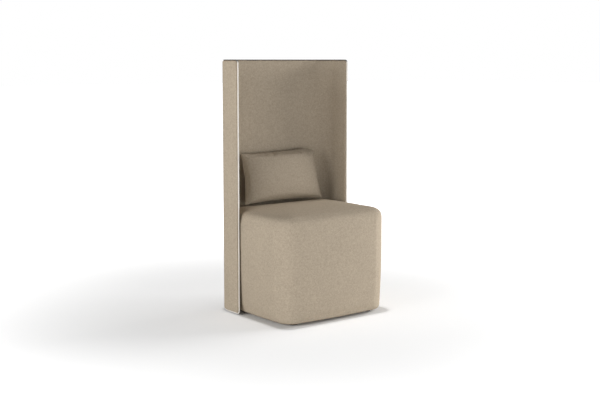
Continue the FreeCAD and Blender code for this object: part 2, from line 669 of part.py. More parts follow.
wide = f"({seatHalfWidth} + 10)"
padHeights = (baseBottom, webbingTop)
seatFoam = cutBlock("seat_foam", (f"-{wide}", wide), (f"{seatFront} - 10", f"{seatRear} + 10"),
                    (webbingTop, "Sizes.seatHeight + Sizes.seatCrown + 10"))
frontPad = cutBlock("front_pad", (f"-{wide}", wide), (f"{seatFront} - 10", carcassFront), padHeights)
plainRearPad = cutBlock("plainRearPad", (f"-{wide}", wide), (carcassRear, f"{seatRear} + 10"), padHeights)
rearPad = cutNode("rear_pad", plainRearPad, spacerHoles)
leftPad = cutBlock("left_pad", (f"-{wide}", f"-{carcassHalf}"), (carcassFront, carcassRear), padHeights)
rightPad = cutBlock("right_pad", (carcassHalf, wide), (carcassFront, carcassRear), padHeights)

# Seat fabric turned in under the base board, a dust cloth in its opening, a glide near each corner

openingHalf = f"({carcassHalf} - Sizes.flangeWidth)"
openingDepth = f"({carcassDepth} - 2 * Sizes.flangeWidth)"
openingRadius = f"({boardCornerRadius} - Sizes.flangeWidth)"
coverOpening = roundedBoard("coverOpening", f"2 * {openingHalf}", openingDepth, "Sizes.seatSkin + 2",
                            openingRadius)
place(coverOpening, y=carcassMiddle, z="Sizes.seatFloorGap - 1")
footPlaces = [(name, sideX + footX, f"{carcassMiddle} {signY} {footReach}")
              for name, sideX, signY in (("front_left", "-", "-"), ("front_right", "", "-"),
                                         ("rear_left", "-", "+"), ("rear_right", "", "+"))]
screwHoles = group("screwHoles", [
    cylinder("screwHole_" + name, "Sizes.footScrewDiameter", f"{baseBottom} - 4", x, y, "4")
    for name, x, y in footPlaces])
hollowCover = cutNode("hollowCover", seatShape, seatHollow)
openCover = cutNode("openCover", hollowCover, coverOpening)
boltedCover = cutNode("boltedCover", openCover, spacerHoles)
seatCover = cutNode("seat_cover", boltedCover, screwHoles)
plainCloth = roundedBoard("plainCloth", f"2 * {openingHalf}", openingDepth, "Sizes.seatSkin", openingRadius)
place(plainCloth, y=carcassMiddle, z="Sizes.seatFloorGap")
bottomCloth = cutNode("bottom_cloth", plainCloth, screwHoles)


def addFoot(name, x, y):
    """Low round glide: tapered to the floor, with a recess for the screw's head."""
    body = newBody("foot_" + name)
    sketch = newSketch(body, f"foot_{name}Profile", "XZ_Plane")
    top = value("Sizes.footDiameter") / 2
    floor = value("Sizes.footFloorDiameter") / 2
    height = value("Sizes.seatFloorGap")
    bore = value("Sizes.footScrewDiameter") / 2
    recess = value("Sizes.footScrewDiameter")
    seat = height / 3
    points = [Vector(recess, 0), Vector(floor, 0), Vector(top, height * 0.4), Vector(top, height),
              Vector(bore, height), Vector(bore, seat), Vector(recess, seat)]
    for start, end in zip(points, points[1:] + points[:1]):
        sketch.addGeometry(Part.LineSegment(start, end))
    for line in range(7):
        sketch.addConstraint(Sketcher.Constraint("Coincident", line, 2, (line + 1) % 7, 1))
    for line, direction in ((0, "Horizontal"), (2, "Vertical"), (3, "Horizontal"), (4, "Vertical"),
                            (5, "Horizontal"), (6, "Vertical")):
        sketch.addConstraint(Sketcher.Constraint(direction, line))
    sizes = (("floor", "DistanceX", 0, 2, floor, "Sizes.footFloorDiameter / 2"),
             ("bottom", "DistanceY", 0, 2, 0, "0"),
             ("top", "DistanceX", 2, 1, top, "Sizes.footDiameter / 2"),
             ("shoulder", "DistanceY", 2, 1, height * 0.4, "Sizes.seatFloorGap * 0.4"),
             ("height", "DistanceY", 2, 2, height, "Sizes.seatFloorGap"),
             ("bore", "DistanceX", 4, 1, bore, "Sizes.footScrewDiameter / 2"),
             ("recess", "DistanceX", 6, 1, recess, "Sizes.footScrewDiameter"),
             ("seat", "DistanceY", 6, 1, seat, "Sizes.seatFloorGap / 3"))
    for label, kind, line, end, number, expression in sizes:
        if label == "bottom":
            sketch.addConstraint(Sketcher.Constraint("PointOnObject", line, end, -1))
        else:
            nameLast(sketch, Sketcher.Constraint(kind, -1, 1, line, end, number), label, expression)
    turned = body.newObject("PartDesign::Revolution", f"foot_{name}Turned")
    turned.Profile = sketch
    turned.ReferenceAxis = (sketch, ["V_Axis"])
    turned.Angle = 360
    place(body, x, y)
    return body


feet = [addFoot(name, x, y) for name, x, y in footPlaces]
screws = []
for name, x, y in footPlaces:
    headLow = "Sizes.seatFloorGap / 3 - 2.5"
    screwHead = cylinder("screwHead_" + name, "Sizes.footScrewDiameter * 1.8", "2.5", x, y, headLow)
    screwShank = cylinder("screwShank_" + name, "Sizes.footScrewDiameter",
                          f"{baseTop} - 2 - Sizes.seatFloorGap / 3", x, y, "Sizes.seatFloorGap / 3")
    screw = doc.addObject("Part::Fuse", "screw_" + name)
    screw.Base = screwHead
    screw.Tool = screwShank
    screws.append(screw)
footScrews = group("foot_screws", screws)

# The pillow: crowned on both faces, pointed corners, its edges drawn in between them, leaning back


def pillowOutline(share, width, height, draw, depth):
    """Four arcs that meet at the corners; share is 1 at the seam and less towards the crown."""
    cornerShare = share ** 1.25
    halfWidth = width / 2 * cornerShare
    halfHeight = height / 2 * cornerShare
    sideMiddle = (width / 2 - draw) * share
    topMiddle = (height / 2 - draw) * share
    footMiddle = (height / 2 - pillowFootDraw) * share
    corners = [Vector(-halfWidth, depth, -halfHeight), Vector(halfWidth, depth, -halfHeight),
               Vector(halfWidth, depth, halfHeight), Vector(-halfWidth, depth, halfHeight)]
    middles = [Vector(0, depth, -footMiddle), Vector(sideMiddle, depth, 0),
               Vector(0, depth, topMiddle), Vector(-sideMiddle, depth, 0)]
    ends = corners[1:] + corners[:1]
    return Part.Wire([Part.Arc(*points).toShape() for points in zip(corners, middles, ends)])


def pillowShape(inset, steps):
    """Crowned form between its two faces."""
    width = value("Sizes.pillowWidth") - 2 * inset
    height = value("Sizes.pillowHeight") - 2 * inset
    skin = value("Sizes.pillowSkin") + inset - seamAllowance if inset else 0
    thickness = value("Sizes.pillowThickness") - 2 * skin
    draw = value("Sizes.pillowEdgeDraw")
    turns = [math.pi / 2 * step / steps for step in range(1 - steps, steps)]
    outlines = []
    for turn in turns:
        share = math.cos(turn)
        depth = math.copysign(thickness / 2 * (1 - share ** 2.4) ** 0.75, turn)
        outlines.append(pillowOutline(share, width, height, draw, depth))
    return Part.makeLoft(outlines, True, True)


pillowFootDraw = 2
seamAllowance = 4
pillowSteps = 7
fillSteps = 5
leanBack = FreeCAD.Placement(Vector(0, 0, 0), FreeCAD.Rotation(Vector(1, 0, 0), -value("Sizes.pillowLean")))
pillowOuter = pillowShape(0, pillowSteps)
pillowOuter.Placement = leanBack
seamFoot = value("Sizes.pillowHeight") / 2
pillowY = value(f"{screenInside} - Sizes.clearance") - pillowOuter.BoundBox.YMax
footY = pillowY - seamFoot * math.sin(math.radians(value("Sizes.pillowLean")))
footInset = value(seatRear) - footY
crownRings = seatRings(0, seatSteps)[-seatSteps - 1:]
outer = max(ring for ring in crownRings if ring[0] <= footInset)
inner = min(ring for ring in crownRings if ring[0] > footInset)
restingHeight = outer[1] + (inner[1] - outer[1]) * (footInset - outer[0]) / (inner[0] - outer[0])
pillowZ = restingHeight + value("Sizes.clearance") - pillowOuter.BoundBox.ZMin
pillowPlacement = FreeCAD.Placement(Vector(value("Sizes.pillowOffset"), pillowY, pillowZ), leanBack.Rotation)


def pillowFeature(name, shape):
    """Part of the pillow, set in its leaning place."""
    feature = solidFeature(name, shape)
    feature.Placement = pillowPlacement
    return feature


zipLow = -value("Sizes.pillowHeight") / 2 + pillowFootDraw + 0.4
zipTape = Part.makeBox(260, 1.6, seamAllowance - 0.8, Vector(-130, -0.8, zipLow))
pillowHollow = pillowShape(seamAllowance, fillSteps)
pillowCover = pillowFeature("pillow_cover", pillowShape(0, pillowSteps).cut(pillowHollow).cut(zipTape))
fillInset = seamAllowance + 2 * value("Sizes.clearance")
pillowFill = pillowFeature("pillow_fill", pillowShape(fillInset, fillSteps))
pillowZip = pillowFeature("pillow_zip", zipTape)

nodes = [
    screenCore, innerFoam, outerFoam, outerCover, innerCover, piping,
    screenTeeNuts, screenBolts, screenWashers, screenSpacers,
    baseBoard, frontRail, rearRail, leftRail, rightRail, cornerBlocks, crossWebbing, longWebbing,
    seatFoam, frontPad, rearPad, leftPad, rightPad, seatCover, bottomCloth,
    *feet, footScrews, pillowCover, pillowFill, pillowZip,
]

doc.recompute()
for thing in doc.Objects:
    if "Invalid" in thing.State or "Error" in thing.State:
        raise RuntimeError("failed object: " + thing.Label)
for node in nodes:
    if node.Shape.isNull() or not node.Shape.isValid() or not node.Shape.Solids:
        raise RuntimeError("bad shape: " + node.Label)

os.makedirs("parts", exist_ok=True)
for node in nodes:
    node.Shape.exportStep(os.path.join("parts", node.Label + ".step"))
    box = node.Shape.BoundBox
    print("%-20s solids %d  volume %.0f  x %.1f %.1f  y %.1f %.1f  z %.1f %.1f" % (
        node.Label, len(node.Shape.Solids), node.Shape.Volume,
        box.XMin, box.XMax, box.YMin, box.YMax, box.ZMin, box.ZMax))
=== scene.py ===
import math
import bmesh
import bpy
from mathutils import Euler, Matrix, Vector, noise


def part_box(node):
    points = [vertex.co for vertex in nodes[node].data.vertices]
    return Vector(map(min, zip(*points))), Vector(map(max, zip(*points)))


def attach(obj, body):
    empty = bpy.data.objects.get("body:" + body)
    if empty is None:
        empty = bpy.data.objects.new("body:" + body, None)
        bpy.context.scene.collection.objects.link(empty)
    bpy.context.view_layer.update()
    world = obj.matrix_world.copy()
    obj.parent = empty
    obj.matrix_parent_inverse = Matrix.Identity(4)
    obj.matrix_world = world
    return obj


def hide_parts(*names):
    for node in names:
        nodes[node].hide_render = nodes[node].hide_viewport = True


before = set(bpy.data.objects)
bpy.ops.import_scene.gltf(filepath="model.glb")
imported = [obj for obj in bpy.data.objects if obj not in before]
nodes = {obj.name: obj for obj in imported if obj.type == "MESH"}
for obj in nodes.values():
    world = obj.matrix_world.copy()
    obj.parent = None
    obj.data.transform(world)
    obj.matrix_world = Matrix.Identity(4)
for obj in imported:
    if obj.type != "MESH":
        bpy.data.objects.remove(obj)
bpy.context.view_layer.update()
scene = bpy.context.scene
scene.view_settings.view_transform = "Standard"

# shared mesh work


def finishMesh(bm, name, material, body, smooth=True):
    mesh = bpy.data.meshes.new(name)
    bm.to_mesh(mesh)
    bm.free()
    for face in mesh.polygons:
        face.use_smooth = smooth
    piece = bpy.data.objects.new(name, mesh)
    scene.collection.objects.link(piece)
    mesh.materials.append(material)
    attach(piece, body)
    return piece


def bakeModifiers(piece):
    # the finished shape goes into the mesh, and no modifier stays on the piece
    depsgraph = bpy.context.evaluated_depsgraph_get()
    mesh = bpy.data.meshes.new_from_object(piece.evaluated_get(depsgraph))
    old = piece.data
    piece.modifiers.clear()
    piece.data = mesh
    bpy.data.meshes.remove(old)
    mesh.name = piece.name
    for face in mesh.polygons:
        face.use_smooth = True


def cutAt(bm, places, axis):
    # loops at even places, so that a flat sheet can bend
    normal = Vector((1, 0, 0)) if axis == "x" else Vector((0, 1, 0))
    for place in places:
        bmesh.ops.bisect_plane(bm, geom=bm.verts[:] + bm.edges[:] + bm.faces[:], dist=1e-6,
                               plane_co=normal * place, plane_no=normal)


def spread(low, high, step):
    count = max(1, round((high - low) / step))
    return [low + (high - low) * n / count for n in range(count + 1)]


def roundedSheet(width, height, radius, segments=6):
    # flat rectangle with round corners, in x and y
    bm = bmesh.new()
    bmesh.ops.create_grid(bm, x_segments=1, y_segments=1, size=0.5, calc_uvs=False)
    bmesh.ops.scale(bm, vec=(width, height, 1), verts=bm.verts)
    bmesh.ops.bevel(bm, geom=bm.verts[:], offset=radius, segments=segments, affect="VERTICES",
                    profile=0.5, material=-1)
    return bm


def layFabric(bm):
    # fabric coordinates in metres, straight from the flat cut
    layer = bm.loops.layers.uv.new("fabric")
    for face in bm.faces:
        for loop in face.loops:
            loop[layer].uv = (loop.vert.co.x, loop.vert.co.y)


def walkRound(start, rim):
    # the rim's corners in order, once round
    ring, before, vert = [], None, start
    while len(ring) < len(rim) and (vert is not start or not ring):
        ring.append(vert)
        ahead = [edge.other_vert(vert) for edge in vert.link_edges if edge in rim]
        before, vert = vert, next(other for other in ahead if other is not before)
    return ring


def roundTube(name, line, radius, steps, material, body):
    # a closed cord along a line of points
    curve = bpy.data.curves.new(name, "CURVE")
    curve.dimensions = "3D"
    curve.bevel_depth = radius
    curve.bevel_resolution = steps
    spline = curve.splines.new("POLY")
    spline.points.add(len(line) - 1)
    for point, place in zip(spline.points, line):
        point.co = (*place, 1)
    spline.use_cyclic_u = True
    holder = bpy.data.objects.new(name + "Line", curve)
    scene.collection.objects.link(holder)
    mesh = bpy.data.meshes.new_from_object(holder)
    bpy.data.objects.remove(holder)
    mesh.name = name
    for face in mesh.polygons:
        face.use_smooth = True
    mesh.materials.clear()
    mesh.materials.append(material)
    piece = bpy.data.objects.new(name, mesh)
    scene.collection.objects.link(piece)
    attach(piece, body)
    return piece


# surfaces


class Nodes:
    # short way to build a node tree
    def __init__(self, name):
        self.material = bpy.data.materials.new(name)
        self.material.use_nodes = True
        self.tree = self.material.node_tree
        self.shader = self.tree.nodes["Principled BSDF"]

    def add(self, kind, **settings):
        node = self.tree.nodes.new(kind)
        for key, setting in settings.items():
            if key in node.inputs:
                node.inputs[key].default_value = setting
            else:
                setattr(node, key, setting)
        return node

    def join(self, start, end):
        self.tree.links.new(start, end)

    def maths(self, operation, first, second=None):
        node = self.tree.nodes.new("ShaderNodeMath")
        node.operation = operation
        for slot, item in enumerate((first, second)):
            if item is None:
                continue
            if isinstance(item, (int, float)):
                node.inputs[slot].default_value = item
            else:
                self.join(item, node.inputs[slot])
        return node.outputs[0]

    def noise(self, where, scale, detail=2.0, rough=0.5):
        node = self.add("ShaderNodeTexNoise", Scale=scale, Detail=detail, Roughness=rough)
        self.join(where, node.inputs["Vector"])
        return node.outputs["Fac"]

    def ramp(self, value, stops):
        node = self.tree.nodes.new("ShaderNodeValToRGB")
        band = node.color_ramp
        while len(band.elements) < len(stops):
            band.elements.new(0.5)
        for element, (place, colour) in zip(band.elements, stops):
            element.position = place
            element.color = (*colour, 1)
        self.join(value, node.inputs["Fac"])
        return node.outputs["Color"]

    def bump(self, height, distance, strength, under=None):
        node = self.add("ShaderNodeBump", Distance=distance, Strength=strength)
        self.join(height, node.inputs["Height"])
        if under:
            self.join(under, node.inputs["Normal"])
        return node.outputs["Normal"]


def shade(colour, factor):
    return tuple(channel * factor for channel in colour)


meltonWool = {"yarn": (0.420, 0.352, 0.268), "pitch": 0.0016, "fleck": 420, "cloud": 130}


def woolFabric(name, coordinates, tone=1.0):
    # mottled woven wool: pale and dark yarns mixed, a plain weave and a light nap
    n = Nodes(name)
    where = n.add("ShaderNodeTexCoord").outputs["Object"]
    if coordinates == "fabric":
        lay = n.add("ShaderNodeUVMap", uv_map="fabric").outputs["UV"]
    else:
        lay = where
    yarn = shade(meltonWool["yarn"], tone)
    fleck = n.noise(where, meltonWool["fleck"], 3, 0.6)
    cloud = n.noise(where, meltonWool["cloud"], 3, 0.6)
    broad = n.noise(where, 7, 2)
    mix = n.maths("ADD", n.maths("MULTIPLY", fleck, 0.55), n.maths("MULTIPLY", cloud, 0.45))
    colour = n.ramp(mix, [(0.36, shade(yarn, 0.80)), (0.46, shade(yarn, 0.96)), (0.54, shade(yarn, 1.04)),
                          (0.66, shade(yarn, 1.20))])
    tint = n.add("ShaderNodeHueSaturation", Saturation=1.0)
    n.join(colour, tint.inputs["Color"])
    n.join(n.maths("ADD", n.maths("MULTIPLY", broad, 0.08), 0.96), tint.inputs["Value"])
    n.join(tint.outputs["Color"], n.shader.inputs["Base Color"])
    split = n.add("ShaderNodeSeparateXYZ")
    n.join(lay, split.inputs[0])
    waves = [n.maths("SINE", n.maths("MULTIPLY", split.outputs[axis], 2 * math.pi / meltonWool["pitch"]))
             for axis in range(3)]
    weave = n.maths("ADD", n.maths("MULTIPLY", waves[0], waves[1]),
                    n.maths("ADD", n.maths("MULTIPLY", waves[1], waves[2]),
                            n.maths("MULTIPLY", waves[2], waves[0])))
    nap = n.noise(where, 1500, 2)
    height = n.maths("ADD", n.maths("MULTIPLY", weave, 0.35), nap)
    n.join(n.bump(height, 0.0004, 0.45, n.bump(cloud, 0.0008, 0.20)), n.shader.inputs["Normal"])
    n.join(n.maths("ADD", n.maths("MULTIPLY", fleck, 0.12), 0.84), n.shader.inputs["Roughness"])
    n.shader.inputs["Specular IOR Level"].default_value = 0.12
    n.shader.inputs["Sheen Weight"].default_value = 0.08
    n.shader.inputs["Sheen Roughness"].default_value = 0.5
    n.shader.inputs["Sheen Tint"].default_value = (0.85, 0.68, 0.48, 1)
    return n.material


def cordFabric(name):
    # pale piping: a tight twill wrapped round a cord, with painted shade along its top run
    n = Nodes(name)
    where = n.add("ShaderNodeTexCoord").outputs["Object"]
    split = n.add("ShaderNodeSeparateXYZ")
    n.join(where, split.inputs[0])
    slant = n.maths("ADD", n.maths("ADD", split.outputs[0], split.outputs[1]), split.outputs[2])
    twill = n.maths("SINE", n.maths("MULTIPLY", slant, 2 * math.pi / 0.0014))
    fleck = n.noise(where, 600, 2)
    high = n.add("ShaderNodeMapRange")  # painted shade: the run along the top edge is darkened, standing for the shade on its up-facing side
    for socket, number in (("From Min", 1.139), ("From Max", 1.148), ("To Min", 1.0), ("To Max", 0.10)):
        high.inputs[socket].default_value = number
    n.join(split.outputs[2], high.inputs["Value"])
    tone = n.add("ShaderNodeHueSaturation")
    n.join(n.ramp(fleck, [(0.3, (0.66, 0.62, 0.56)), (0.7, (0.80, 0.77, 0.71))]), tone.inputs["Color"])
    n.join(high.outputs["Result"], tone.inputs["Value"])
    n.join(tone.outputs["Color"], n.shader.inputs["Base Color"])
    height = n.maths("ADD", n.maths("MULTIPLY", twill, 0.5), fleck)
    n.join(n.bump(height, 0.0003, 0.5), n.shader.inputs["Normal"])
    n.join(n.maths("ADD", n.maths("MULTIPLY", fleck, 0.2), 0.6), n.shader.inputs["Roughness"])
    n.shader.inputs["Sheen Weight"].default_value = 0.1
    return n.material


def grainedWood(name, pale, dark, layers):
    # plies or growth rings as fine bands along one axis, with a wavy grain
    n = Nodes(name)
    where = n.add("ShaderNodeTexCoord").outputs["Object"]
    stretch = n.add("ShaderNodeMapping", Scale=layers)
    n.join(where, stretch.inputs["Vector"])
    grain = n.noise(stretch.outputs["Vector"], 9, 5, 0.65)
    n.join(n.ramp(grain, [(0.35, dark), (0.65, pale)]), n.shader.inputs["Base Color"])
    n.join(n.bump(grain, 0.0004, 0.3), n.shader.inputs["Normal"])
    n.join(n.maths("ADD", n.maths("MULTIPLY", grain, 0.2), 0.5), n.shader.inputs["Roughness"])
    return n.material


def mouldedPlastic(name, colour, rough=0.5):
    # fine spark-eroded grain
    n = Nodes(name)
    where = n.add("ShaderNodeTexCoord").outputs["Object"]
    grain = n.noise(where, 1400, 2)
    n.join(n.ramp(n.noise(where, 60), [(0.3, shade(colour, 0.85)), (0.7, shade(colour, 1.2))]),
           n.shader.inputs["Base Color"])
    n.join(n.bump(grain, 0.0002, 0.35), n.shader.inputs["Normal"])
    n.join(n.maths("ADD", n.maths("MULTIPLY", grain, 0.15), rough - 0.07), n.shader.inputs["Roughness"])
    return n.material


def zincSteel(name):
    n = Nodes(name)
    where = n.add("ShaderNodeTexCoord").outputs["Object"]
    cloud = n.noise(where, 300, 3)
    colour = n.ramp(cloud, [(0.3, (0.42, 0.43, 0.45)), (0.7, (0.62, 0.62, 0.63))])
    n.join(colour, n.shader.inputs["Base Color"])
    n.join(n.maths("ADD", n.maths("MULTIPLY", cloud, 0.3), 0.22), n.shader.inputs["Roughness"])
    n.shader.inputs["Metallic"].default_value = 1.0
    return n.material


def strapWeave(name, colour, pitch):
    # narrow ribs across a strap or a non-woven cloth
    n = Nodes(name)
    where = n.add("ShaderNodeTexCoord").outputs["Object"]
    split = n.add("ShaderNodeSeparateXYZ")
    n.join(where, split.inputs[0])
    ribs = n.maths("MULTIPLY", n.maths("SINE", n.maths("MULTIPLY", split.outputs[0], 2 * math.pi / pitch)),
                   n.maths("SINE", n.maths("MULTIPLY", split.outputs[1], 2 * math.pi / pitch)))
    fuzz = n.noise(where, 800, 2)
    mottled = n.ramp(fuzz, [(0.3, shade(colour, 0.7)), (0.7, shade(colour, 1.4))])
    n.join(mottled, n.shader.inputs["Base Color"])
    n.join(n.bump(n.maths("ADD", ribs, fuzz), 0.0003, 0.5), n.shader.inputs["Normal"])
    n.join(n.maths("ADD", n.maths("MULTIPLY", fuzz, 0.2), 0.75), n.shader.inputs["Roughness"])
    return n.material


screenWool = woolFabric("screenWool", "fabric")
# the inner face's wool is the screen wool darkened to 0.88, as painted shade for the screen's shaded inside
shadedInnerWool = woolFabric("shadedInnerWool", "fabric", 0.88)
seatWool = woolFabric("seatWool", "object")
pillowWool = woolFabric("pillowWool", "fabric", 0.80)
pipingCord = cordFabric("pipingCord")
birchPly = grainedWood("birchPly", (0.58, 0.42, 0.25), (0.42, 0.28, 0.15), (2, 2, 40))
beechBlock = grainedWood("beechBlock", (0.50, 0.32, 0.18), (0.38, 0.22, 0.11), (30, 30, 1.5))
blackPlastic = mouldedPlastic("blackPlastic", (0.018, 0.018, 0.019), 0.45)
zincPlate = zincSteel("zincPlate")
elasticWeb = strapWeave("elasticWeb", (0.05, 0.048, 0.045), 0.002)
blackCloth = strapWeave("blackCloth", (0.02, 0.02, 0.021), 0.0012)
print("materials made")

# rigid pieces keep their own shape

nodeFinish = {
    "screen_core": birchPly, "base_board": birchPly, "front_rail": birchPly, "rear_rail": birchPly,
    "left_rail": birchPly, "right_rail": birchPly, "corner_blocks": beechBlock,
    "screen_tee_nuts": zincPlate, "screen_bolts": zincPlate, "screen_washers": zincPlate,
    "screen_spacers": blackPlastic, "foot_screws": zincPlate, "webbing_cross": elasticWeb,
    "webbing_long": elasticWeb, "foot_front_left": blackPlastic, "foot_front_right": blackPlastic,
    "foot_rear_left": blackPlastic, "foot_rear_right": blackPlastic,
}
for node, material in nodeFinish.items():
    slots = nodes[node].data.materials
    for number in range(len(slots)):
        slots[number] = material
    if not slots:
        slots.append(material)
print("rigid pieces finished")

# the screen: two fabric faces bent round the core, with piping between them

screen = {
    "halfWidth": 0.313, "middleBack": 0.249, "bend": 0.069,  # middle of the panel's thickness
    "front": 0.0905, "low": 0.0095, "high": 1.1487, "cornerRound": 0.012,
    "rimStart": 0.0038, "fabric": 0.0009, "slot": 0.0022,
    "rim": [(0.0003, 0.0014), (0.0006, 0.0010), (0.0012, 0.0007), (0.0018, 0.0003), (0.0025, 0.0001)],
    "pipingRadius": 0.0034, "pipingProud": 0.0010, "foamFill": 0.9,
    "sideClear": 0.016, "endClear": 0.018, "backStep": 0.03, "wingStep": 0.025, "bendSteps": 10,
}
backRun = screen["halfWidth"] - screen["bend"]
bendRun = math.pi / 2 * screen["bend"]
halfRun = backRun + bendRun + screen["middleBack"] - screen["bend"] - screen["front"]
panelHeight = screen["high"] - screen["low"]
bendStations = [backRun + bendRun * n / screen["bendSteps"] for n in range(screen["bendSteps"] + 1)]
runStations = sorted({round(side * place, 5) for side in (-1, 1)
                      for place in spread(0, backRun, screen["backStep"]) + bendStations
                      + spread(backRun + bendRun, halfRun - screen["sideClear"], screen["wingStep"])})
riseStations = spread(-panelHeight / 2 + screen["endClear"], panelHeight / 2 - screen["endClear"],
                      screen["backStep"])


def onScreen(run, rise, depth, side=1):
    # a point of the flat cut, bent round the panel; depth is out of the panel's middle
    along = min(max(abs(run) - backRun, 0), bendRun)
    turn = along / screen["bend"]
    past = max(abs(run) - backRun - bendRun, 0)
    reach = screen["bend"] + side * depth
    x = min(abs(run), backRun) + reach * math.sin(turn)
    y = screen["middleBack"] - screen["bend"] + reach * math.cos(turn) - past
    return Vector((math.copysign(x, -side * run), y, screen["low"] + panelHeight / 2 + rise))


def screenFace(name, wool, side, replaced):
    bm = roundedSheet(2 * (halfRun - screen["slot"]), panelHeight - 2 * screen["slot"],
                      screen["cornerRound"] - screen["slot"], 8)
    bmesh.ops.translate(bm, vec=(0, 0, screen["rimStart"]), verts=bm.verts)
    middle = bm.faces[:]
    for inset, rise in screen["rim"]:
        bmesh.ops.inset_region(bm, faces=middle, thickness=inset, depth=rise, use_boundary=True,
                               use_even_offset=True)
    cutAt(bm, runStations, "x")
    cutAt(bm, riseStations, "y")
    layFabric(bm)
    for vert in bm.verts:
        vert.co = onScreen(vert.co.x, vert.co.y, vert.co.z, side)
    piece = finishMesh(bm, name, wool, "chair")
    wall = piece.modifiers.new("Thickness", "SOLIDIFY")
    wall.thickness = screen["fabric"]
    wall.offset = -1
    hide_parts(*replaced)
    return piece


def borderLoop():
    # the piping's line round the flat cut, in order
    proud = 2 * screen["pipingProud"]
    bm = roundedSheet(2 * halfRun + proud, panelHeight + proud,
                      screen["cornerRound"] + screen["pipingProud"], 8)
    cutAt(bm, runStations, "x")
    cutAt(bm, riseStations, "y")
    start = next(vert for vert in bm.verts if vert.is_boundary)
    line = [vert.co.copy() for vert in walkRound(start, {edge for edge in bm.edges if edge.is_boundary})]
    bm.free()
    return line


def screenPiping():
    line = [onScreen(point.x, point.y, 0) for point in borderLoop()]
    piece = roundTube("screenPiping", line, screen["pipingRadius"], 4, pipingCord, "chair")
    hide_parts("screen_piping")


outerFace = screenFace("screenOuterFace", screenWool, 1, ["screen_outer_cover", "screen_outer_foam"])
innerFace = screenFace("screenInnerFace", shadedInnerWool, -1, ["screen_inner_cover", "screen_inner_foam"])
screenPiping()
print("screen made")

# the seat block: foam upholstered tight, crowned on top

seat = {
    "voxel": 0.0083, "soften": 2, "shrink": 0.0015, "pressure": 2.0, "cap": 0.003,
    "frames": 12, "fuller": (0.003, 0.003, 0.0045), "higher": 0.0035,
}


def seatForm():
    # the block's outer form, from its cover
    cover = nodes["seat_cover"]
    bm = bmesh.new()
    bm.from_mesh(cover.data)
    bmesh.ops.transform(bm, matrix=cover.matrix_world, verts=bm.verts)
    hull = bmesh.ops.convex_hull(bm, input=bm.verts[:], use_existing_faces=False)
    inside = {item for key in ("geom_interior", "geom_unused") for item in hull[key]
              if isinstance(item, bmesh.types.BMVert)}
    bmesh.ops.delete(bm, geom=list(inside), context="VERTS")
    outer = {item for item in hull["geom"] if isinstance(item, bmesh.types.BMFace) and item.is_valid}
    bmesh.ops.delete(bm, geom=[face for face in bm.faces if face not in outer], context="FACES_ONLY")
    loose = [edge for edge in bm.edges if not edge.link_faces]
    bmesh.ops.delete(bm, geom=loose, context="EDGES")
    bmesh.ops.recalc_face_normals(bm, faces=bm.faces)
    return bm


def addCloth(piece, pressure, frames, stiffness=15):
    cloth = piece.modifiers.new("Cloth", "CLOTH")
    cloth.settings.quality = 6
    cloth.settings.mass = 0.3
    cloth.settings.tension_stiffness = stiffness
    cloth.settings.compression_stiffness = stiffness
    cloth.settings.shear_stiffness = 5
    cloth.settings.bending_stiffness = 0.5
    cloth.settings.use_pressure = True
    cloth.settings.uniform_pressure_force = pressure
    cloth.settings.effector_weights.gravity = 0
    cloth.collision_settings.use_collision = False
    cloth.collision_settings.use_self_collision = False
    cloth.point_cache.frame_start = 1
    cloth.point_cache.frame_end = frames
    for step in range(1, frames + 1):
        scene.frame_set(step)
    bpy.context.view_layer.update()


def capMoves(piece, before, most):
    for vert, place in zip(piece.data.vertices, before):
        move = vert.co - place
        if move.length > most:
            vert.co = place + move * (most / move.length)


def fitBox(piece, low, high):
    verts = piece.data.vertices
    for axis in range(3):
        start = min(vert.co[axis] for vert in verts)
        span = max(vert.co[axis] for vert in verts) - start
        scale = (high[axis] - low[axis]) / span
        for vert in verts:
            vert.co[axis] = low[axis] + (vert.co[axis] - start) * scale


def seatBlock():
    block = bpy.data.objects.new("blockForm", bpy.data.meshes.new("blockForm"))
    scene.collection.objects.link(block)
    bm = seatForm()
    bm.to_mesh(block.data)
    piece = finishMesh(bm, "seatBlock", seatWool, "chair")
    remesh = piece.modifiers.new("Remesh", "REMESH")
    remesh.mode = "VOXEL"
    remesh.voxel_size = seat["voxel"]
    soften = piece.modifiers.new("Soften", "SMOOTH")
    soften.factor = 0.5
    soften.iterations = seat["soften"]
    wrap = piece.modifiers.new("Wrap", "SHRINKWRAP")
    wrap.target = block
    bakeModifiers(piece)
    bpy.data.objects.remove(block)
    for vert, normal in [(vert, vert.normal.copy()) for vert in piece.data.vertices]:
        vert.co -= normal * seat["shrink"]
    before = [vert.co.copy() for vert in piece.data.vertices]
    addCloth(piece, seat["pressure"], seat["frames"])
    bakeModifiers(piece)
    capMoves(piece, before, seat["cap"])
    low, high = (Vector(corner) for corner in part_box("seat_cover"))
    fitBox(piece, low - Vector(seat["fuller"]), high + Vector((seat["fuller"][0], 0, seat["higher"])))
    fine = piece.modifiers.new("Fine", "SUBSURF")
    fine.levels = fine.render_levels = 1
    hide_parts("seat_cover", "seat_foam", "front_pad", "rear_pad", "left_pad", "right_pad")


seatBlock()

dustCloth = {"inset": 0.0015, "cornerRound": 0.03, "sag": 0.0006, "thickness": 0.0006, "step": 0.03}


